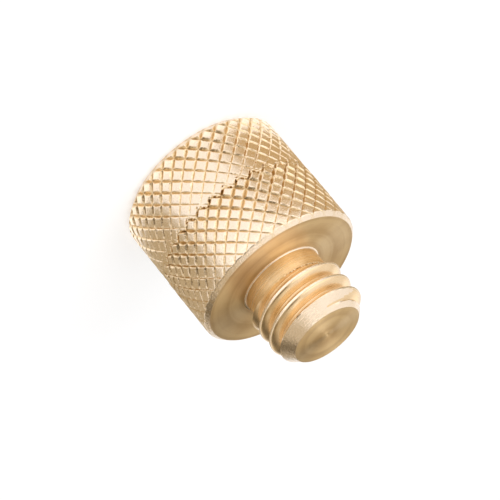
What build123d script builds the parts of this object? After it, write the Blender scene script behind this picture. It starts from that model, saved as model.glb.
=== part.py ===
from build123d import *
from build123d.topology import SkipClean
import os
from math import atan, degrees, pi, radians, sqrt, tan

# A turned brass thread adapter: a round grip, diamond knurled in two bands, with a tapped
# hole in its open end, and a coarse threaded stud on a relieved neck at its other end. It
# stands on the open end, and its axis is +Z. Sizes are in millimetres.

# Grip: two bands, the one beside the stud a little fatter
grip_diameter = 16.5
band_step = 0.06
grip_length = 13.45
open_band_length = 6.66
open_end_chamfer = 0.75
stud_end_chamfer = 0.42

# Diamond knurl: V grooves of each hand, at 45 degrees to the axis, that get shallower up
# each band. At a band's lower edge, its first right-hand groove and its first left-hand
# groove lie these shares of the spacing round from +X.
knurl_count = 34
knurl_angle = 90
knurl_depth = 0.24
knurl_shallow_depth = 0.1
open_band_turns = (0.2, 0.67)
stud_band_turns = (0.88, 0.54)

# Undercut that parts the two bands, a little deeper than the knurl
undercut_below_knurl = 0.04
undercut_height = 0.15

# Stud: unified coarse thread, sixteen turns to the inch
stud_diameter = 9.45
stud_length = 7.25
stud_pitch = 25.4 / 16
tip_chamfer = 1.2
neck_length = 2.02
neck_relief = 0.75
neck_fillet = 0.12

# Tapped hole: the wall that the tapping drill leaves
hole_diameter = 5.1
hole_length = 9.6
mouth_diameter = 6.8
mouth_angle = 90
drill_point_angle = 118

# Worked out from the sizes above
clear = 0.2
grip_radius = grip_diameter / 2
front_radius = grip_radius + band_step
undercut_radius = grip_radius - knurl_depth - undercut_below_knurl
seam_height = open_band_length
stud_radius = stud_diameter / 2
neck_radius = stud_radius - neck_relief
shoulder_height = grip_length + neck_length
tip_height = grip_length + stud_length
hole_radius = hole_diameter / 2
mouth_radius = mouth_diameter / 2
mouth_depth = (mouth_radius - hole_radius) / tan(radians(mouth_angle / 2))
drill_point = hole_radius / tan(radians(drill_point_angle / 2))

# Knurl groove, cut level: at 45 degrees to the axis, it looks wider by the root of two
knurl_reach = knurl_depth + clear
knurl_half_mouth = knurl_reach * tan(radians(knurl_angle / 2)) * sqrt(2)

# Thread form: sixty-degree flanks, with a flat on crest and root. The groove starts
# below the shoulder and ends past the tip, so it runs out at both.
flank_angle = radians(30)
thread_depth = 0.4375 * stud_pitch
groove_mouth = 0.75 * stud_pitch
groove_floor = groove_mouth - 2 * thread_depth * tan(flank_angle)
groove_start = shoulder_height - 0.64 * stud_pitch
groove_turns = stud_length / stud_pitch + 1

# Grip and neck, turned in one, with the undercut, and with the corner at the foot of the
# neck rounded
with BuildPart() as thread_adapter:
    with BuildSketch(Plane.XZ):
        with BuildLine():
            Polyline(
                (0, 0),
                (grip_radius - open_end_chamfer, 0),
                (grip_radius, open_end_chamfer),
                (grip_radius, seam_height - undercut_height),
                (undercut_radius, seam_height - undercut_height),
                (undercut_radius, seam_height),
                (front_radius, seam_height),
                (front_radius, grip_length - stud_end_chamfer),
                (front_radius - stud_end_chamfer, grip_length),
                (neck_radius, grip_length),
                (neck_radius, shoulder_height),
                (0, shoulder_height),
                close=True,
            )
        make_face()
        neck_foot = vertices().sort_by_distance((neck_radius, grip_length))[0]
        fillet(neck_foot, neck_fillet)
    revolve(axis=Axis.Z)

    # Tapped hole, drilled blind from the open end and countersunk at its mouth
    with BuildSketch(Plane.XZ):
        with BuildLine():
            Polyline(
                (0, -mouth_depth),
                (mouth_radius + mouth_depth, -mouth_depth),
                (hole_radius, mouth_depth),
                (hole_radius, hole_length),
                (0, hole_length + drill_point),
                close=True,
            )
        make_face()
    revolve(axis=Axis.Z, mode=Mode.SUBTRACT)

# The groove between the thread's crests, as the threading tool sweeps it
with BuildPart() as thread_groove:
    with BuildLine(Plane.XY.offset(groove_start)) as groove_path:
        Helix(stud_pitch, groove_turns * stud_pitch, stud_radius)
    groove_plane = Plane(groove_path.line @ 0, x_dir=(1, 0, 0), z_dir=groove_path.line % 0)
    with BuildSketch(groove_plane):
        with BuildLine():
            Polyline(
                (-thread_depth, -groove_floor / 2),
                (clear, -groove_mouth / 2 - clear * tan(flank_angle)),
                (clear, groove_mouth / 2 + clear * tan(flank_angle)),
                (-thread_depth, groove_floor / 2),
                close=True,
            )
        make_face()
    sweep(is_frenet=True)

# Threaded stud, chamfered at its tip
with BuildPart() as stud:
    with BuildSketch(Plane.XY.offset(shoulder_height)):
        Circle(stud_radius)
    extrude(amount=tip_height - shoulder_height)
    tip_edge = edges().filter_by(GeomType.CIRCLE).sort_by(Axis.Z)[-1]
    chamfer(tip_edge, tip_chamfer)
    add(thread_groove.part, mode=Mode.SUBTRACT)

with thread_adapter:
    add(stud.part)

# Knurling, one hand at a time: for each band, one V groove on a helix, repeated around the
# band. It runs out past the band's outer end, and it stops in the undercut.
seam_gap = seam_height - undercut_height / 2
knurl_bands = (
    (grip_radius, 0, seam_height, -clear, seam_gap, open_band_turns),
    (front_radius, seam_height, grip_length, seam_gap, grip_length + clear, stud_band_turns),
)
for hand, way_round in enumerate((1, -1)):
    knurl_grooves = []
    for band_radius, low, high, start, end, turns in knurl_bands:
        slope = (knurl_depth - knurl_shallow_depth) / (high - low)
        with BuildPart() as knurl_groove:
            with BuildLine(Plane.XY.offset(start)) as knurl_path:
                Helix(
                    pitch=2 * pi * band_radius,
                    height=end - start,
                    radius=band_radius - knurl_depth + slope * (start - low),
                    cone_angle=degrees(atan(slope)),
                    lefthand=way_round < 0,
                )
            with BuildSketch(Plane(knurl_path.line @ 0)):
                with BuildLine():
                    Polyline(
                        (0, 0),
                        (knurl_reach, knurl_half_mouth),
                        (knurl_reach, -knurl_half_mouth),
                        close=True,
                    )
                make_face()
            sweep(is_frenet=True)
        run_in = way_round * degrees((start - low) / band_radius)
        first_groove = turns[hand] * 360 / knurl_count + run_in
        places = PolarLocations(0, knurl_count, start_angle=first_groove)
        knurl_grooves += [place * knurl_groove.part for place in places]
    with thread_adapter, SkipClean():
        add(knurl_grooves, mode=Mode.SUBTRACT, clean=False)

os.makedirs("parts", exist_ok=True)
thread_adapter.part.label = "thread_adapter"
export_step(thread_adapter.part, "parts/thread_adapter.step")
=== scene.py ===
from math import radians

import bmesh
import bpy
import numpy as np
from mathutils import Matrix, Vector


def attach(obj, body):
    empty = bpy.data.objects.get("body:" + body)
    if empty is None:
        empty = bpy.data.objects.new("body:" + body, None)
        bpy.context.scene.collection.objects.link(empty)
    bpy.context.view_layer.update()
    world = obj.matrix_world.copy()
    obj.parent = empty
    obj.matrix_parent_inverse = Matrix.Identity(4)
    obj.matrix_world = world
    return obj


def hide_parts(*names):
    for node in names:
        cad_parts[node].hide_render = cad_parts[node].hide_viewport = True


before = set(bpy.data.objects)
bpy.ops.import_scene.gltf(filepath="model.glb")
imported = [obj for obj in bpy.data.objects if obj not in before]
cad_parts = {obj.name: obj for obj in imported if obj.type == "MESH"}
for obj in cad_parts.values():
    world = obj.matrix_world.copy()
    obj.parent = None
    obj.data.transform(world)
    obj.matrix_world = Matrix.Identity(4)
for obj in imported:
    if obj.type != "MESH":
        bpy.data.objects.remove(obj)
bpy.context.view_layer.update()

# A turned brass thread adapter, standing on its open end with its axis along +Z: a grip
# diamond knurled in two bands, a relieved neck and a coarse threaded stud. Sizes are in
# millimetres, and a mesh is made in metres. Angles are measured round the axis from the
# front, which is -Y, towards +X.
MM = 0.001
NODE = "thread_adapter"

# Grip: its two meshes meet a little below the seam between its bands
OPEN_BAND_RADIUS = 8.25
STUD_BAND_RADIUS = 8.31
SEAM_HEIGHT = 6.79
SPLIT_HEIGHT = 6.0
GRIP_LENGTH = 13.45
OPEN_END_CHAMFER = 0.75
STUD_END_CHAMFER = 0.42

# Knurl: grooves of each hand round the grip, the height that one groove rises between its
# neighbours, and how deep a groove is at each band's lower and upper end. Two shares of that
# depth follow: what a groove loses at a crossing, and how much the grooves differ. A band's
# turns are the shares of a spacing that each hand is turned from the front. The mesh has a
# number of steps to a groove, and no added row is nearer another than a share of a step.
KNURL_COUNT = 34
KNURL_RISE = 1.522
KNURL_DEEP = 0.27
KNURL_SHALLOW = 0.1
KNURL_NARROW = 0.3
KNURL_UNEVEN = 0.2
NARROW_SHARPNESS = 6
OPEN_BAND_TURNS = (0.83, 0.30)
STUD_BAND_TURNS = (0.58, 0.0)
STEPS_PER_GROOVE = 15
LEAST_ROW_GAP = 0.3
COLUMNS = KNURL_COUNT * STEPS_PER_GROOVE

# Diamonds between the grooves: how far their tops sink, lean and are crowned
DIAMOND_SINK = 0.012
DIAMOND_LEAN = 0.03
DIAMOND_CROWN = 0.014
LEAN_SEEDS = (50, 100)

# Seam: a zigzag edge, whose first row of diamonds may have its middle a share of a row below the
# seam, and the crevice along it. The crevice's depth has a mean, a swing and a least share, and
# painted shade darkens it as much as a groove deeper by a share of one's depth.
SEAM_ROW_SLACK = 0.25
SEAM_CORNER = 0.65
SEAM_WOBBLE = 0.08
CREVICE_DEPTH = 0.07
CREVICE_WIDTH = 0.14
CREVICE_MEAN = 0.85
CREVICE_SWING = 0.5
CREVICE_LEAST = 0.5
CREVICE_SHADE = 0.8

# Stud: radius over its crests, the height of a crest at the front, and its tip, with a pip in the
# middle. The last groove before the tip is only a share as deep, and the crests' flats down to a
# given depth take the knurl's pale finish, rubbed metal with a painted highlight. The mesh has
# columns round the axis, and steps from crest to root that crowd on the crest by a power.
STUD_RADIUS = 4.725
STUD_PITCH = 1.5875
STUD_CREST = 18.02
STUD_LAST_GROOVE = 0.07
STUD_COLUMNS = 420
STUD_STEPS = 10
CREST_HIGHLIGHT_DEPTH = 0.03
CREST_CROWDING = 1.5
SHOULDER_HEIGHT = 15.47
TIP_HEIGHT = 20.7
TIP_RADIUS = 3.525
TIP_RINGS = 22
PIP_DEPTH = 0.06
PIP_RADIUS = 0.2
PIP_EDGE = 0.16
PIP_RINGS = 5

# Form of a thread's tooth: its depth, the flat on its crest, the roundings above and below
# the crest, and the rounding of the root. A depth below 0 is a nut's.
STUD_FORM = (0.8, 0.15, 0.7, 0.05, 0.05)
HOLE_FORM = (-0.62, 0.1, 0.1, 0.1, 0.05)

# Neck, with a rounded foot, and the torn ring that the threading tool left at its shoulder. The
# tear's rows go up from the neck in shares of its width, and each is torn by a share of its depth.
# It has a mean, a swing, and painted shade, counted as a groove's depth, with a base and a swing.
# One more row of the neck lies just below it.
NECK_RADIUS = 3.975
NECK_FILLET = 0.16
NECK_END_SHARE = 1.2
FILLET_ROWS = 6
TEAR_WIDTH = 0.16
TEAR_DEPTH = 0.1
TEAR_ROWS = (-1, -0.6, -0.3, 0)
TEAR_SHARES = (0, 1, 1, 0)
TEAR_MEAN = 0.5
TEAR_SWING = 1.2
TEAR_SHADE = (0.4, 1.6)

# Tapped hole
HOLE_RADIUS = 2.55
HOLE_LENGTH = 9.6
HOLE_PITCH = 1.27
HOLE_CREST = 0.4
HOLE_STEPS = 4
MOUTH_RADIUS = 3.4
DRILL_POINT_HEIGHT = 11.13

# Rings across the turned faces
END_RINGS = 5
FACE_RINGS = 8
CHAMFER_ROWS = 7
SHOULDER_RINGS = 4

# Waves that make the metal uneven: a ripple's wave has a count round the axis, one along it
# and a shift, and each use of it has a pace and a seed
SCATTER_WAVES = (12.9898, 78.233)
SCATTER_SCALE = 43758.5453
RIPPLE_WAVES = ((7, 3.1, 1), (17, -5.3, 2.7), (41, 11.9, 5.9))
WOBBLE_RIPPLE = (3, 1)
CREVICE_RIPPLE = (2, 3)
TEAR_RIPPLE = (4, 2)

# Meshing: points closer than the first merge, edges shorter than the second vanish, and
# edges sharper than the angle in degrees show as edges
MERGE_DISTANCE = 2e-4
LEAST_EDGE = 1e-5
SHARP_ANGLE = 30

# Brass: the knurl's, from its pale tops through painted shade that warms and darkens its grooves to
# a painted shadow in the seam's crevice, then the turned faces', clean and dull
TOP_BRASS = (0.95, 0.80, 0.64, 1)
WARM_GROOVE_SHADE = (0.88, 0.69, 0.46, 1)
DEEP_GROOVE_SHADE = (0.66, 0.48, 0.27, 1)
SEAM_CREVICE_SHADE = (0.34, 0.22, 0.10, 1)
FACE_BRASS = (0.92, 0.71, 0.43, 1)
FACE_DULL = (0.74, 0.53, 0.29, 1)
NECK_BRASS = (1.0, 0.78, 0.50, 1)
NECK_DULL = (0.80, 0.57, 0.31, 1)
THREAD_BRASS = (0.93, 0.72, 0.49, 1)
THREAD_DULL = (0.86, 0.64, 0.38, 1)

# Knurled finish: its colours, from the tops' to painted shade, each from its share of rubbing and
# groove depth added together, and the pits. Noise scales here and below are features to the metre.
KNURL_COLOURS_AND_SHADE = ((0.0, TOP_BRASS), (0.16, WARM_GROOVE_SHADE), (0.5, DEEP_GROOVE_SHADE), (0.85, SEAM_CREVICE_SHADE))
KNURL_ROUGHNESS = (0.16, 0.3)
SPECK_SCALE = 5000.0
SMEAR_SCALE = 1100.0
SPECK_WEAR = 0.5
SMEAR_WEAR = 0.35
MEAN_WEAR = -0.42
PIT_DEPTH = 0.026

# Turned finishes: the length of a lathe mark, how many of them gather into a broader ring, how
# much of the height counts as radius, cloudy patches, and how much the shine varies
FEED_MARK = 0.06
MARKS_TO_RING = 6
RING_RISE = 0.7
CLOUD_SCALE = 420.0
CLOUD_RANGE = (0.38, 0.62)
NOISE_RANGE = (0.3, 0.7)
ROUGHNESS_SWING = 0.15

# Studio: the floor, and how white it and the world are
FLOOR_SIZE = 4000
FLOOR_DROP = 0.01
FLOOR_WHITE = (0.62, 0.62, 0.62, 1)
FLOOR_ROUGHNESS = 0.9
FLOOR_LIFT = 0.55
FILL_LEVEL = 0.6
WHITE = (1, 1, 1, 1)

# Camera, at the photograph's angle: it looks down on the stud end and is rolled so that
# the stud points to the lower right. Half the picture and the focal length are in pixels.
AIM = Vector((0.560, 0.0, 9.158)) * MM
ELEVATION = radians(26.15)
ROLL = radians(50.7)
DISTANCE = 421.2 * MM
HALF_PICTURE = 250
FOCAL_LENGTH = 4600
SENSOR_WIDTH = 36
NEAREST_SEEN = 10 * MM

# Cards and dome: the colours they glow with from a dark level to a light one, how high a card
# lies over the floor, how many points they have, and how steep the edge of a patch is
CARD_LIGHT = (1.0, 0.97, 0.93, 1)
CARD_TAN = (1.0, 0.82, 0.54, 1)
CARD_GOLD = (1.0, 0.72, 0.38, 1)
DARK_LEVEL = 0.5
LIGHT_LEVEL = 1.0
CARD_HEIGHT = 0.05
CARD_POINTS = 33
LEAST_FADE = 1e-6
DOME_ROWS = 61
DOME_COLUMNS = 181
BELL_SHARPNESS = 4

# Patches of the dome, in the order that they are laid over each other. Each has an angle, an
# elevation and a half-width in degrees, and a level.
DOME_PATCHES = (
    # The back, dim
    (180, 26, 35, 0.56),
    # One side and its front, bright
    (-26, 30, 12, 1.5),
    (-50, 28, 20, 1.6),
    (-80, 22, 20, 1.4),
    (-72, 54, 18, 1.1),
    (-115, 35, 24, 1.0),
    # Overhead, brightest
    (0, 88, 14, 3.0),
    # The other side, from high up to the back, dim
    (70, 56, 18, 0.6),
    (160, 18, 18, 0.05),
    (134, 26, 12, 0.1),
    # A low glow at the back of the bright side
    (-158, 14, 16, 1.3),
    # The foot of the dim side
    (78, 24, 18, 0.2),
    (112, 26, 20, 0.15),
    # The front, dark, which the knurl's grooves show
    (4, 37, 11, 0.0),
    (24, 36, 14, 0.0),
    (47, 35, 11, 0.05),
)


# Forms
def points(radius, angle, height):
    """Points at a radius and height, turned round the axis from the front towards +X."""
    radius, angle, height = np.broadcast_arrays(radius, angle, height)
    return np.stack([radius * np.sin(angle), -radius * np.cos(angle), height], axis=-1)


def scatter(first, second):
    """A number from 0 to 1 that looks random: the fraction of a large sine of two counts."""
    wave = np.sin(first * SCATTER_WAVES[0] + second * SCATTER_WAVES[1])
    return np.mod(wave * SCATTER_SCALE, 1.0)


def ripple(angle, height, pace, seed):
    """A gentle unevenness from -1 to 1: three sines of the angle and height, averaged."""
    angle, height = pace * angle, pace * height
    waves = [
        np.sin(around * angle + along * height + shift * seed)
        for around, along, shift in RIPPLE_WAVES]
    return sum(waves) / len(waves)


def knurl_phases(angle, height, turns):
    """How many grooves of each hand lie between the front and a point on the wall."""
    around = KNURL_COUNT * angle / (2 * np.pi)
    along = height / KNURL_RISE
    return around + along + turns[0], around - along + turns[1]


def knurl_cut(angle, height, low, high, turns):
    """Depth of the knurl: of two V grooves that cross, the deeper, less the distance to its
    middle line. The grooves deepen towards the band's lower end, each has its own share of
    that depth, and each narrows where it crosses another."""
    deep = np.interp(height, (low, high), (KNURL_DEEP, KNURL_SHALLOW))
    spacing = KNURL_RISE / np.sqrt(2)
    phases = knurl_phases(angle, height, turns)
    cut = np.zeros(np.broadcast(angle, height).shape)
    for phase, other in (phases, phases[::-1]):
        groove = np.round(phase)
        aside = np.abs(phase - groove) * spacing
        own = 1 + KNURL_UNEVEN * (scatter(np.mod(groove, KNURL_COUNT), turns[0]) - 0.5)
        narrow = 1 - KNURL_NARROW * np.cos(np.pi * other) ** NARROW_SHARPNESS
        cut = np.maximum(cut, deep * own * narrow - aside)
    return cut


def diamond_sink(angle, height, turns):
    """How far a point on a diamond's top sits below the band's full radius. Each diamond has
    its own depth and lean, and its top is crowned: it falls with the square of the distance
    from its middle."""
    phases = knurl_phases(angle, height, turns)
    left, right = (np.floor(phase) for phase in phases)
    aside = [2 * (phase - np.floor(phase)) - 1 for phase in phases]
    first, second = np.mod(left, KNURL_COUNT), left - right
    lean = [scatter(first + seed, second) - 0.5 for seed in LEAN_SEEDS]
    leaning = DIAMOND_LEAN * (lean[0] * aside[0] + lean[1] * aside[1])
    crowned = DIAMOND_CROWN * (aside[0] ** 2 + aside[1] ** 2)
    return DIAMOND_SINK * scatter(first, second) + leaning + crowned + DIAMOND_LEAN / 2


def band_rows(low, high, turns, extra=()):
    """Heights of the wall's rows: steps on which both hands of groove pass through the
    columns' points, with the band's ends and any extra heights added."""
    step = KNURL_RISE / STEPS_PER_GROOVE
    gap = LEAST_ROW_GAP * step
    start = (turns[1] - turns[0]) / 2 * KNURL_RISE
    first = np.ceil((low + gap - start) / step)
    last = np.floor((high - gap - start) / step)
    inner = start + step * np.arange(first, last + 1)
    for height in extra:
        inner = inner[np.abs(inner - height) > gap]
    return np.sort(np.concatenate([[low], inner, list(extra), [high]]))


def band_angles(turns):
    """Angles of the columns, on which both hands of groove meet, once round."""
    start = -(turns[0] + turns[1]) / 2 / KNURL_COUNT * 2 * np.pi
    return start + np.linspace(0, 2 * np.pi, COLUMNS + 1)


def knurled_radius(angle, height, outline, low, high, turns):
    """Radius and groove depth of a knurled band: at each point the smaller of the plain
    outline and the knurl. The depth goes from 0 on a diamond's top to 1 in a deep groove."""
    cut = knurl_cut(angle, height, low, high, turns)
    sink = diamond_sink(angle, height, turns)
    top_radius = outline((low + high) / 2)
    return np.minimum(outline(height), top_radius - np.maximum(cut, sink)), cut / KNURL_DEEP


def beyond_seam(angle, height):
    """How far, in millimetres, a point lies inside the stud band's lower edge, and below 0
    outside it. The edge is a zigzag along the band's own grooves: whole diamonds overhang
    the open band, and the lowest corner of each is rounded."""
    left, right = knurl_phases(angle, height, STUD_BAND_TURNS)
    spacing = KNURL_RISE / np.sqrt(2)
    shift = STUD_BAND_TURNS[0] - STUD_BAND_TURNS[1]
    first_row = np.ceil(2 * SEAM_HEIGHT / KNURL_RISE - SEAM_ROW_SLACK + shift)
    row = np.floor(left) - np.floor(right)
    from_left, from_right = np.mod(left, 1) * spacing, (1 - np.mod(right, 1)) * spacing
    corner = SEAM_CORNER - np.hypot(SEAM_CORNER - from_left, SEAM_CORNER - from_right)
    in_corner = np.maximum(from_left, from_right) < SEAM_CORNER
    inside = np.where(in_corner, corner, np.minimum(from_left, from_right))
    outside = np.minimum(spacing - from_left, spacing - from_right)
    inside = np.where(row > first_row, spacing, inside)
    outside = np.where(row < first_row - 1, spacing, outside)
    return np.where(row >= first_row, inside, -outside)


def wall_grids(angles, rows, wall):
    """A wall's grid and its cells' middles, so that grooves of both hands run along edges.
    Each is its points and how deep the groove is there."""
    def sample(angle, height):
        """The wall's points at some angles and heights, and how deep the groove is there."""
        radius, depth = wall(angle, height)
        return points(radius, angle, height), depth

    corners = sample(*np.meshgrid(angles, rows))
    middles = sample(*np.meshgrid((angles[:-1] + angles[1:]) / 2, (rows[:-1] + rows[1:]) / 2))
    return corners, middles


def turned(profile, angles):
    """A surface of revolution: each (radius, height) of the profile, carried round."""
    radius, height = np.array(profile, float).T
    return points(radius[:, None], angles[None, :], height[:, None])


def tooth_drop(aside, tooth, flat, above_round, below_round, root_round):
    """How far a sixty-degree thread lies from its crest, at a distance along the axis from
    the crest's middle. Past the crest's flat, a hyperbola rounds each side and leads into the
    straight flank, and a soft minimum with the full depth rounds the root."""
    crest_round = np.where(aside > 0, above_round, below_round)
    past = np.clip(np.abs(aside) - flat / 2, 0, None)
    flank = np.sqrt(3 * past ** 2 + crest_round ** 2) - crest_round
    return tooth - root_round * np.logaddexp(0, (tooth - flank) / root_round)


def threaded(angles, crest, pitch, form, radius, low, high, steps, last=1.0):
    """A right-hand thread between two heights. Rows follow the helix at fixed distances
    from its crest, closer together on the crest, and are held at the ends. A nut's tooth
    points to the axis. Past one pitch above the front's crest, the groove is only the last
    share as deep. Returns angle, height and radius arrays."""
    tooth, *rounds = form
    half = pitch / 2 * np.linspace(0, 1, steps + 1) ** CREST_CROWDING
    one = np.concatenate([half, pitch - half[-2:0:-1]])
    turns = np.arange(np.floor((low - crest) / pitch) - 2, np.ceil((high - crest) / pitch) + 1)
    rows = (turns[:, None] * pitch + one).ravel()
    angle, row = np.meshgrid(angles, rows)
    raised = crest + row + pitch * angle / (2 * np.pi)
    height = np.clip(raised, low, high)
    aside = np.mod(height - raised + row + pitch / 2, pitch) - pitch / 2
    drop = tooth_drop(aside, abs(tooth), *rounds)
    drop = drop * np.where(height - crest - pitch * (1 + angle / (2 * np.pi)) > 0, last, 1.0)
    return angle, height, radius - np.sign(tooth) * np.maximum(drop, 0)


def grid_quads(index):
    """Corner numbers of the quads between neighbouring rows and columns of a grid."""
    return np.stack([index[:-1, :-1], index[:-1, 1:], index[1:, 1:], index[1:, :-1]], axis=-1)


class Shell:
    """The points, faces, finishes and groove depths of one piece while it is put together."""

    def __init__(self):
        """An empty shell."""
        self.points, self.faces, self.finish, self.groove, self.count = [], [], [], [], 0

    def add_points(self, grid, groove):
        """Adds a grid of points and their groove depths, and returns the points' numbers."""
        start = self.count
        flat = grid.reshape(-1, 3)
        self.points.append(flat)
        self.groove.append(np.broadcast_to(groove, grid.shape[:-1]).ravel())
        self.count += len(flat)
        return start + np.arange(len(flat)).reshape(grid.shape[:-1])

    def grid(self, grid, finish, groove=0.0):
        """Adds a grid of points as quads between neighbouring rows and columns, with one finish
        or one for each quad."""
        quads = grid_quads(self.add_points(grid, groove))
        self.faces.append(quads.reshape(-1, 4))
        self.finish.append(np.broadcast_to(finish, quads.shape[:-1]).ravel())

    def star_grid(self, corners, middles, finish):
        """Adds a grid with a middle point in each cell, as four triangles a cell."""
        quads = grid_quads(self.add_points(*corners))
        middle = self.add_points(*middles)
        for side in range(4):
            first, second = quads[..., side], quads[..., (side + 1) % 4]
            triangles = np.stack([first, second, middle], axis=-1)
            self.faces.append(triangles.reshape(-1, 3))
            self.finish.append(np.full(middle.size, finish))

    def make(self, name, materials):
        """Merges what meets, turns faces outwards and returns the finished object."""
        mesh = bpy.data.meshes.new(name)
        faces = [face for block in self.faces for face in block.tolist()]
        mesh.from_pydata(np.concatenate(self.points) * MM, [], faces)
        mesh.polygons.foreach_set("material_index", np.concatenate(self.finish).astype(np.int32))
        # Groove depth, raised in the seam's crevice and the tear, from which the knurl's finish
        # paints shade
        depth = mesh.attributes.new("groove_shade", "FLOAT", "POINT")
        depth.data.foreach_set("value", np.concatenate(self.groove).astype(np.float32))
        work = bmesh.new()
        work.from_mesh(mesh)
        bmesh.ops.remove_doubles(work, verts=work.verts, dist=MERGE_DISTANCE * MM)
        bmesh.ops.dissolve_degenerate(work, edges=work.edges, dist=LEAST_EDGE * MM)
        bmesh.ops.recalc_face_normals(work, faces=work.faces)
        work.to_mesh(mesh)
        work.free()
        mesh.polygons.foreach_set("use_smooth", np.ones(len(mesh.polygons), bool))
        mesh.set_sharp_from_angle(angle=radians(SHARP_ANGLE))
        for material in materials:
            mesh.materials.append(material)
        piece = bpy.data.objects.new(name, mesh)
        bpy.context.scene.collection.objects.link(piece)
        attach(piece, "root")
        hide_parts(NODE)
        return piece


# Materials
def new_material(name):
    """An empty node material with its Principled shader."""
    material = bpy.data.materials.new(name)
    material.use_nodes = True
    return material, material.node_tree, material.node_tree.nodes["Principled BSDF"]


def add_node(tree, kind, settings=(), **inputs):
    """A node of a kind, with its settings, and each input set or linked by name."""
    made = tree.nodes.new(kind)
    for name, value in dict(settings).items():
        setattr(made, name, value)
    for name, value in inputs.items():
        socket = made.inputs[int(name[2:])] if name.startswith("in") else made.inputs[name]
        if isinstance(value, bpy.types.NodeSocket):
            tree.links.new(value, socket)
        else:
            socket.default_value = value
    return made


def maths(tree, operation, *values):
    """The output of a Math node."""
    inputs = {f"in{place}": value for place, value in enumerate(values)}
    return add_node(tree, "ShaderNodeMath", {"operation": operation}, **inputs).outputs[0]


def attribute(tree, name):
    """A number kept on the mesh's points."""
    return add_node(tree, "ShaderNodeAttribute", {"attribute_name": name}).outputs["Fac"]


def ranged(tree, value, between, become):
    """A value carried from one range to another, and held at the ends."""
    return add_node(
        tree, "ShaderNodeMapRange", in0=value, in1=between[0], in2=between[1], in3=become[0],
        in4=become[1]).outputs[0]


def colour_ramp(tree, value, stops):
    """A colour for a value, blended between stops of a position and a colour."""
    ramp = add_node(tree, "ShaderNodeValToRGB", Fac=value)
    elements = ramp.color_ramp.elements
    for order, (position, colour) in enumerate(stops):
        stop = elements[order] if order < len(elements) else elements.new(position)
        stop.position = position
        stop.color = colour
    return ramp.outputs["Color"]


def lathe_tangent(tree, place):
    """The direction across the lathe marks: the normal crossed with the way round the axis."""
    flat = add_node(tree, "ShaderNodeSeparateXYZ", Vector=place)
    around = add_node(
        tree, "ShaderNodeCombineXYZ", X=maths(tree, "MULTIPLY", flat.outputs["Y"], -1.0),
        Y=flat.outputs["X"], Z=0.0)
    normal = add_node(tree, "ShaderNodeNewGeometry").outputs["Normal"]
    cross = add_node(
        tree, "ShaderNodeVectorMath", {"operation": "CROSS_PRODUCT"}, in0=normal,
        in1=around.outputs[0])
    return add_node(
        tree, "ShaderNodeVectorMath", {"operation": "NORMALIZE"}, in0=cross.outputs[0]).outputs[0]


def lathe_place(tree, place):
    """A number that changes across the lathe marks on every turned face: the radius and
    part of the height, in millimetres."""
    flat = add_node(tree, "ShaderNodeSeparateXYZ", Vector=place)
    across = maths(tree, "MULTIPLY", flat.outputs["X"], flat.outputs["X"])
    along = maths(tree, "MULTIPLY", flat.outputs["Y"], flat.outputs["Y"])
    radius = maths(tree, "SQRT", maths(tree, "ADD", across, along))
    both = maths(tree, "MULTIPLY_ADD", flat.outputs["Z"], RING_RISE, radius)
    return maths(tree, "MULTIPLY", both, 1 / MM)


def turned_brass(name, colour, dull, roughness, anisotropy, marks, depth, lean=0.0):
    """Brass as the lathe leaves it: fine marks round the axis that stretch the shine across
    them, faint rings of colour and a few cloudy patches. With a lean, each mark is a saw's
    tooth, which leans the surface that much outwards."""
    material, tree, shader = new_material(name)
    place = add_node(tree, "ShaderNodeTexCoord").outputs["Object"]
    ring = lathe_place(tree, place)
    fine = add_node(
        tree, "ShaderNodeTexNoise", {"noise_dimensions": "1D"}, W=ring, Scale=marks, Detail=3.0,
        Roughness=0.65).outputs[0]
    broad = add_node(
        tree, "ShaderNodeTexNoise", {"noise_dimensions": "1D"}, W=ring,
        Scale=marks / MARKS_TO_RING, Detail=2.0).outputs[0]
    cloud = add_node(
        tree, "ShaderNodeTexNoise", Vector=place, Scale=CLOUD_SCALE, Detail=3.0).outputs[0]
    patch = maths(tree, "MULTIPLY_ADD", cloud, 0.5, maths(tree, "MULTIPLY", broad, 0.5))
    share = ranged(tree, patch, CLOUD_RANGE, (0.0, 1.0))
    tint = add_node(
        tree, "ShaderNodeMix", {"data_type": "RGBA"}, in0=share, in6=colour, in7=dull).outputs[2]
    tree.links.new(tint, shader.inputs["Base Color"])
    smoothest, roughest = roughness * (1 - ROUGHNESS_SWING), roughness * (1 + ROUGHNESS_SWING)
    gloss = ranged(tree, fine, NOISE_RANGE, (smoothest, roughest))
    tree.links.new(gloss, shader.inputs["Roughness"])
    feed = maths(tree, "FRACT", maths(tree, "DIVIDE", ring, FEED_MARK))
    scratch = maths(tree, "MULTIPLY", fine, depth)
    height = maths(tree, "MULTIPLY_ADD", feed, -lean * FEED_MARK, scratch)
    bump = add_node(tree, "ShaderNodeBump", Strength=1.0, Distance=MM, Height=height)
    tree.links.new(bump.outputs[0], shader.inputs["Normal"])
    tree.links.new(lathe_tangent(tree, place), shader.inputs["Tangent"])
    shader.inputs["Metallic"].default_value = 1.0
    shader.inputs["Anisotropic"].default_value = anisotropy
    return material


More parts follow.
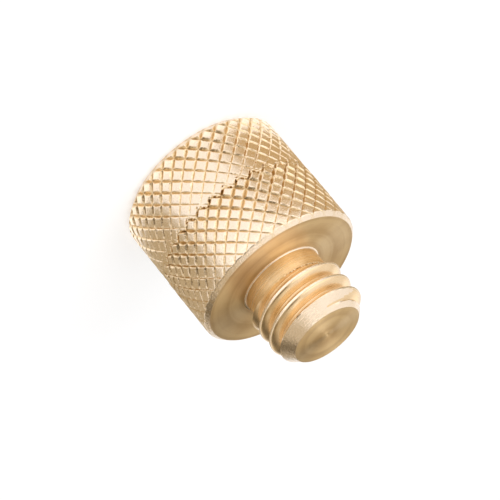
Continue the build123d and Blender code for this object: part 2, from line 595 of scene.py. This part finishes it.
def knurled_brass(name):
    """Knurled brass: pale rubbed tops with fine pits, and painted shade that warms the grooves and
    then darkens them as they deepen, darkest as a painted shadow in the crevice at the seam."""
    material, tree, shader = new_material(name)
    place = add_node(tree, "ShaderNodeTexCoord").outputs["Object"]
    speck = add_node(
        tree, "ShaderNodeTexNoise", Vector=place, Scale=SPECK_SCALE, Detail=4.0,
        Roughness=0.6).outputs[0]
    smear = add_node(
        tree, "ShaderNodeTexNoise", Vector=place, Scale=SMEAR_SCALE, Detail=3.0).outputs[0]
    smeared = maths(tree, "MULTIPLY_ADD", smear, SMEAR_WEAR, MEAN_WEAR)
    uneven = maths(tree, "MULTIPLY_ADD", speck, SPECK_WEAR, smeared)
    # Painted shade: groove depth, added to the random rubbing, carries the colour from the tops'
    # towards the shadows
    depth = attribute(tree, "groove_shade")
    wear_and_shade = maths(tree, "MULTIPLY", maths(tree, "ADD", depth, uneven), 0.5)
    tree.links.new(colour_ramp(tree, wear_and_shade, KNURL_COLOURS_AND_SHADE), shader.inputs["Base Color"])
    gloss = ranged(tree, speck, NOISE_RANGE, KNURL_ROUGHNESS)
    tree.links.new(gloss, shader.inputs["Roughness"])
    bump = add_node(tree, "ShaderNodeBump", Strength=1.0, Distance=PIT_DEPTH * MM, Height=speck)
    tree.links.new(bump.outputs[0], shader.inputs["Normal"])
    shader.inputs["Metallic"].default_value = 1.0
    return material


# Finishes of the pieces, in the order of their slots
FINISHES = (
    knurled_brass("knurled_brass"),
    turned_brass(
        "faced_brass", FACE_BRASS, FACE_DULL, roughness=0.35, anisotropy=0.92, marks=6.0,
        depth=0.01, lean=0.12),
    turned_brass(
        "threaded_brass", THREAD_BRASS, THREAD_DULL, roughness=0.26, anisotropy=0.4, marks=7.0,
        depth=0.005),
    turned_brass(
        "neck_brass", NECK_BRASS, NECK_DULL, roughness=0.26, anisotropy=0.5, marks=7.0,
        depth=0.005),
)
KNURLED, FACED, THREADED, RELIEVED = range(len(FINISHES))


# Pieces
def open_band_outline(height):
    """The open band's radius before knurling: a cone at the open end, then a cylinder."""
    return OPEN_BAND_RADIUS - np.clip(OPEN_END_CHAMFER - height, 0, None)


def stud_band_outline(height):
    """The stud band's radius before knurling: a cylinder, then a cone beside the face."""
    start = GRIP_LENGTH - STUD_END_CHAMFER
    return STUD_BAND_RADIUS - np.clip(height - start, 0, None)


def open_band_wall(angle, height):
    """The open band's radius and groove depth."""
    return knurled_radius(
        angle, height, open_band_outline, 0, SEAM_HEIGHT, OPEN_BAND_TURNS)


def stud_band_wall(angle, height):
    """The stud band's radius and groove depth, and below its zigzag edge the open band's. A narrow
    crevice follows the edge, and it is deeper in some places than in others. Its groove depth is
    raised too, for a painted shadow along it."""
    radius, depth = knurled_radius(
        angle, height, stud_band_outline, SEAM_HEIGHT, GRIP_LENGTH, STUD_BAND_TURNS)
    lower, lower_depth = open_band_wall(angle, height)
    inside = beyond_seam(angle, height) + SEAM_WOBBLE * ripple(angle, height, *WOBBLE_RIPPLE)
    near = np.clip(1 - np.abs(inside) / CREVICE_WIDTH, 0, 1)
    share = CREVICE_MEAN + CREVICE_SWING * ripple(angle, height, *CREVICE_RIPPLE)
    near = near * np.clip(share, CREVICE_LEAST, 1)
    radius = np.where(inside > 0, radius, lower) - CREVICE_DEPTH * near
    # Painted shadow: the crevice raises the groove depth by which the knurl's finish darkens
    depth = np.where(inside > 0, depth, lower_depth) + CREVICE_SHADE * near
    return radius, depth


def rings_between(inner, outer, count):
    """Rings of points from one ring to another, evenly spaced."""
    return inner + (outer - inner) * np.linspace(0, 1, count)[:, None, None]


def make_open_band():
    """The lower part of the grip with the tapped hole through it, as one closed ring."""
    angles = band_angles(OPEN_BAND_TURNS)
    rows = band_rows(0, SPLIT_HEIGHT, OPEN_BAND_TURNS, (OPEN_END_CHAMFER,))
    corners, middles = wall_grids(angles, rows, open_band_wall)
    shell = Shell()
    shell.star_grid(corners, middles, KNURLED)
    angle, height, radius = threaded(
        angles, HOLE_CREST, HOLE_PITCH, HOLE_FORM, HOLE_RADIUS, 0, SPLIT_HEIGHT, HOLE_STEPS)
    hole = np.maximum(radius, MOUTH_RADIUS - height)
    shell.grid(points(hole, angle, height), THREADED)
    wall = corners[0]
    shell.grid(rings_between(points(hole[0], angles, 0), wall[0], END_RINGS), FACED)
    shell.grid(np.stack([points(hole[-1], angles, SPLIT_HEIGHT), wall[-1]]), FACED)
    return shell.make("open_band", FINISHES[:RELIEVED])


def make_stud_band():
    """The upper part of the grip with the turned face and the end of the tapped hole."""
    angles = band_angles(STUD_BAND_TURNS)
    start = GRIP_LENGTH - STUD_END_CHAMFER
    rows = band_rows(SPLIT_HEIGHT, start, STUD_BAND_TURNS)
    corners, middles = wall_grids(angles, rows, stud_band_wall)
    shell = Shell()
    shell.star_grid(corners, middles, KNURLED)
    angle, height = np.meshgrid(angles, np.linspace(start, GRIP_LENGTH, CHAMFER_ROWS))
    radius, depth = stud_band_wall(angle, height)
    cone = points(radius, angle, height)
    shell.grid(cone, KNURLED, depth)
    middle = np.array([0, 0, GRIP_LENGTH])
    inwards = np.linspace(1, 0, FACE_RINGS)[:, None, None]
    shell.grid(middle + (cone[-1] - middle) * inwards, FACED)
    angle, height, radius = threaded(
        angles, HOLE_CREST, HOLE_PITCH, HOLE_FORM, HOLE_RADIUS, SPLIT_HEIGHT, HOLE_LENGTH,
        HOLE_STEPS)
    shell.grid(points(radius, angle, height), THREADED)
    shell.grid(np.stack([points(radius[0], angles, SPLIT_HEIGHT), corners[0][0]]), FACED)
    hole_end = points(radius[-1], angles, HOLE_LENGTH)
    floor_edge = points(HOLE_RADIUS, angles, HOLE_LENGTH)
    drill_point = points(0, angles, DRILL_POINT_HEIGHT)
    shell.grid(np.stack([hole_end, floor_edge, drill_point]), THREADED)
    return shell.make("stud_band", FINISHES[:RELIEVED])


def make_stud():
    """The relieved neck and the threaded stud, closed at its foot and its tip."""
    angles = np.linspace(0, 2 * np.pi, STUD_COLUMNS + 1)
    shell = Shell()
    bend = np.linspace(0, np.pi / 2, FILLET_ROWS)
    foot_radius = NECK_RADIUS + NECK_FILLET * (1 - np.sin(bend))
    foot_height = GRIP_LENGTH + NECK_FILLET * (1 - np.cos(bend))
    foot = list(zip(foot_radius, foot_height))
    shell.grid(turned([(0, GRIP_LENGTH), foot[0]], angles), FACED)
    # The foot's fillet takes the knurl's pale finish: a painted highlight
    shell.grid(turned(foot, angles), KNURLED)
    neck_end = [(NECK_RADIUS, SHOULDER_HEIGHT - TEAR_WIDTH * share) for share in (NECK_END_SHARE, 1)]
    shell.grid(turned([foot[-1], *neck_end], angles), RELIEVED)
    share = TEAR_MEAN + TEAR_SWING * ripple(angles, 0, *TEAR_RIPPLE)
    torn = np.array(TEAR_SHARES)[:, None] * np.clip(share, 0, 1)
    tear_height = SHOULDER_HEIGHT + np.array(TEAR_ROWS)[:, None] * TEAR_WIDTH
    tear = points(NECK_RADIUS - TEAR_DEPTH * torn, angles, tear_height)
    # Painted shade in the tear, given to the knurl's finish as groove depth
    shell.grid(tear, KNURLED, TEAR_SHADE[0] + TEAR_SHADE[1] * torn)
    angle, height, radius = threaded(
        angles, STUD_CREST, STUD_PITCH, STUD_FORM, STUD_RADIUS, SHOULDER_HEIGHT, TIP_HEIGHT,
        STUD_STEPS, STUD_LAST_GROOVE)
    cone = TIP_RADIUS + (TIP_HEIGHT - height)
    thread = points(np.minimum(radius, cone), angle, height)
    neck_top = points(NECK_RADIUS, angles, np.full_like(angles, SHOULDER_HEIGHT))
    shell.grid(rings_between(neck_top, thread[0], SHOULDER_RINGS), THREADED)
    # The crests' flats and the tip's cone take the knurl's pale finish: a painted highlight, on
    # rubbed metal at the crests
    wear_and_highlight = (radius > cone) | (radius > STUD_RADIUS - CREST_HIGHLIGHT_DEPTH)
    shell.grid(thread, np.where(wear_and_highlight, KNURLED, THREADED)[1:, 1:])
    face_rings = np.linspace(TIP_RADIUS, PIP_RADIUS, TIP_RINGS)
    rings = np.concatenate([face_rings, np.linspace(PIP_EDGE, 0, PIP_RINGS)])
    pip = TIP_HEIGHT - PIP_DEPTH * np.clip(1 - rings / PIP_RADIUS, 0, 1)
    shell.grid(turned(list(zip(rings, pip)), angles), FACED)
    return shell.make("threaded_stud", FINISHES)


# Studio
def seen_directly(tree):
    """1 for rays from the camera, from a mirror-like surface or through glass, else 0."""
    path = add_node(tree, "ShaderNodeLightPath").outputs
    seen = maths(tree, "MAXIMUM", path["Is Camera Ray"], path["Is Glossy Ray"])
    return maths(tree, "MAXIMUM", seen, path["Is Transmission Ray"])


def make_floor():
    """A plain pale floor, as white as the backdrop to the camera and in reflections, but for
    the shadow that the part throws on it."""
    material, tree, shader = new_material("pale_floor")
    shader.inputs["Base Color"].default_value = FLOOR_WHITE
    shader.inputs["Roughness"].default_value = FLOOR_ROUGHNESS
    shader.inputs["Specular IOR Level"].default_value = 0.0
    shader.inputs["Emission Color"].default_value = WHITE
    lift = maths(tree, "MULTIPLY", seen_directly(tree), FLOOR_LIFT)
    tree.links.new(lift, shader.inputs["Emission Strength"])
    half = FLOOR_SIZE / 2
    corners = np.array([(-half, -half), (half, -half), (half, half), (-half, half)])
    mesh = bpy.data.meshes.new("floor")
    mesh.from_pydata(np.insert(corners, 2, -FLOOR_DROP, axis=1) * MM, [], [(0, 1, 2, 3)])
    mesh.materials.append(material)
    floor = bpy.data.objects.new("floor", mesh)
    bpy.context.scene.collection.objects.link(floor)


def make_world():
    """A soft even fill, white where it is seen."""
    world = bpy.data.worlds.new("studio")
    bpy.context.scene.world = world
    world.use_nodes = True
    tree = world.node_tree
    background = tree.nodes["Background"]
    background.inputs["Color"].default_value = WHITE
    level = maths(tree, "MULTIPLY_ADD", seen_directly(tree), 1 - FILL_LEVEL, FILL_LEVEL)
    tree.links.new(level, background.inputs["Strength"])


def make_camera():
    """The camera, aimed near the part's middle and rolled about its line of sight."""
    forward = Vector((0, np.cos(ELEVATION), -np.sin(ELEVATION)))
    across = Vector((1, 0, 0))
    upward = Vector((0, np.sin(ELEVATION), np.cos(ELEVATION)))
    right = across * -np.sin(ROLL) + upward * np.cos(ROLL)
    top = across * -np.cos(ROLL) + upward * -np.sin(ROLL)
    lens = bpy.data.cameras.new("camera")
    lens.sensor_width = SENSOR_WIDTH
    lens.lens = lens.sensor_width / 2 / (HALF_PICTURE / FOCAL_LENGTH)
    lens.clip_start = NEAREST_SEEN
    camera = bpy.data.objects.new("camera", lens)
    turn = Matrix((right, top, -forward)).transposed().to_4x4()
    camera.matrix_world = Matrix.Translation(AIM - forward * DISTANCE) @ turn
    bpy.context.scene.collection.objects.link(camera)
    bpy.context.scene.camera = camera


def towards(angle, elevation):
    """The direction from the part at an angle round it and an elevation, in degrees."""
    around, above = radians(angle), radians(elevation)
    return Vector((
        np.sin(around) * np.cos(above), -np.cos(around) * np.cos(above), np.sin(above)))


def softbox(name, angle, elevation, distance, width, height, watts):
    """A rectangular lamp that faces the middle of the part, with its sizes in millimetres.
    It lights the floor, and the dome shows in the metal in its place."""
    lamp = bpy.data.lights.new(name, "AREA")
    lamp.shape = "RECTANGLE"
    lamp.size, lamp.size_y = width * MM, height * MM
    lamp.energy = watts
    made = bpy.data.objects.new(name, lamp)
    made.visible_glossy = False
    way = towards(angle, elevation)
    turn = way.to_track_quat("Z", "Y").to_matrix().to_4x4()
    made.matrix_world = Matrix.Translation(AIM + way * distance * MM) @ turn
    bpy.context.scene.collection.objects.link(made)


def card_finish(name, dark, light):
    """A plain glow, as bright as the card's own level says, between a colour for dark and one
    for light, that fades to nothing at the card's edges."""
    material, tree, shader = new_material(name)
    tree.nodes.remove(shader)
    level = attribute(tree, "level")
    colour = colour_ramp(tree, level, ((DARK_LEVEL, dark), (LIGHT_LEVEL, light)))
    glow = add_node(tree, "ShaderNodeEmission", Color=colour, Strength=level)
    clear = add_node(tree, "ShaderNodeBsdfTransparent")
    mixed = add_node(
        tree, "ShaderNodeMixShader", in0=attribute(tree, "inside"), in1=clear.outputs[0],
        in2=glow.outputs[0])
    tree.links.new(mixed.outputs[0], tree.nodes["Material Output"].inputs["Surface"])
    return material


def faded(count, first, last):
    """From 0 at each end of a row up to 1, over a first and a last share of its length."""
    share = np.linspace(0, 1, count)
    rising = share / max(first, LEAST_FADE)
    falling = (1 - share) / max(last, LEAST_FADE)
    return np.clip(np.minimum(rising, falling), 0, 1)


def card_from(name, grid, inside, level, finish):
    """A card over a grid of points, which shows in the metal and nowhere else. Each point
    has its own level, and its share that is inside the card."""
    rows, columns = grid.shape[:2]
    quads = grid_quads(np.arange(rows * columns).reshape(rows, columns))
    mesh = bpy.data.meshes.new(name)
    mesh.from_pydata(grid.reshape(-1, 3) * MM, [], quads.reshape(-1, 4).tolist())
    for label, values in (("inside", inside), ("level", level)):
        layer = mesh.attributes.new(label, "FLOAT", "POINT")
        values = np.broadcast_to(values, (rows, columns))
        layer.data.foreach_set("value", values.ravel().astype(np.float32))
    mesh.materials.append(finish)
    made = bpy.data.objects.new(name, mesh)
    made.visible_camera = False
    made.visible_diffuse = False
    made.visible_shadow = False
    bpy.context.scene.collection.objects.link(made)


def light_dome(name, radius, low, plain, patches, finish):
    """A dome round the part that shows in the metal: a plain level, and patches that each
    pull it towards their own level and fade like a bell."""
    angle = np.radians(np.linspace(0, 360, DOME_COLUMNS))
    above = np.radians(np.linspace(low, 90, DOME_ROWS))[:, None]
    level = np.full((DOME_ROWS, DOME_COLUMNS), float(plain))
    for around, height, width, own in patches:
        way = towards(around, height)
        facing = (
            way.x * np.sin(angle) * np.cos(above) - way.y * np.cos(angle) * np.cos(above)
            + way.z * np.sin(above))
        apart = np.degrees(np.arccos(np.clip(facing, -1, 1)))
        level += (own - level) * np.exp(-(apart / width) ** BELL_SHARPNESS)
    grid = points(radius * np.cos(above), angle, radius * np.sin(above) + AIM.z / MM)
    card_from(name, grid, 1.0, level, finish)


def floor_card(name, angles, inner, outer, row_fades, column_fades, levels, finish):
    """A card on the floor round the part, between two angles and two radii. It fades in from
    its inner and outer edges, and from its two sides, over shares of its size, and its level
    goes from one at the inner edge to one at the outer."""
    angle = np.radians(np.linspace(*angles, CARD_POINTS))
    grid = points(np.linspace(inner, outer, CARD_POINTS)[:, None], angle, CARD_HEIGHT)
    inside = faded(CARD_POINTS, *row_fades)[:, None] * faded(CARD_POINTS, *column_fades)[None, :]
    card_from(name, grid, inside, np.linspace(*levels, CARD_POINTS)[:, None], finish)


def make_lights():
    """Two lamps for the floor, and the dome and floor cards that the metal shows."""
    softbox("key", -50, 30, distance=500, width=500, height=350, watts=0.9)
    softbox("top", 10, 78, distance=500, width=300, height=300, watts=0.31)
    tan_card = card_finish("tan_card", CARD_TAN, CARD_LIGHT)
    gold_card = card_finish("gold_card", CARD_GOLD, CARD_GOLD)
    light_dome(
        "light_dome", radius=450, low=2, plain=0.9, patches=DOME_PATCHES, finish=tan_card)
    floor_card(
        "left_floor_card", (-160, -24), inner=10.5, outer=38, row_fades=(0.02, 0.1),
        column_fades=(0.15, 0.2), levels=(0.6, 0.6), finish=gold_card)
    floor_card(
        "side_floor_card", (-160, -75), inner=37, outer=90, row_fades=(0.02, 0.1),
        column_fades=(0.2, 0.1), levels=(0.5, 0.5), finish=tan_card)
    floor_card(
        "right_floor_card", (34, 165), inner=10.5, outer=90, row_fades=(0.02, 0.3),
        column_fades=(0.15, 0.2), levels=(0.5, 0.5), finish=tan_card)
    floor_card(
        "base_card", (0, 360), inner=8.3, outer=11, row_fades=(0, 0.3), column_fades=(0, 0),
        levels=(1.3, 1.3), finish=tan_card)
    floor_card(
        "front_floor_card", (-70, 70), inner=39, outer=90, row_fades=(0.1, 0.3),
        column_fades=(0.1, 0.2), levels=(1.6, 1.6), finish=tan_card)


make_open_band()
make_stud_band()
make_stud()
make_floor()
make_world()
make_camera()
make_lights()
bpy.context.scene.view_settings.view_transform = "Standard"
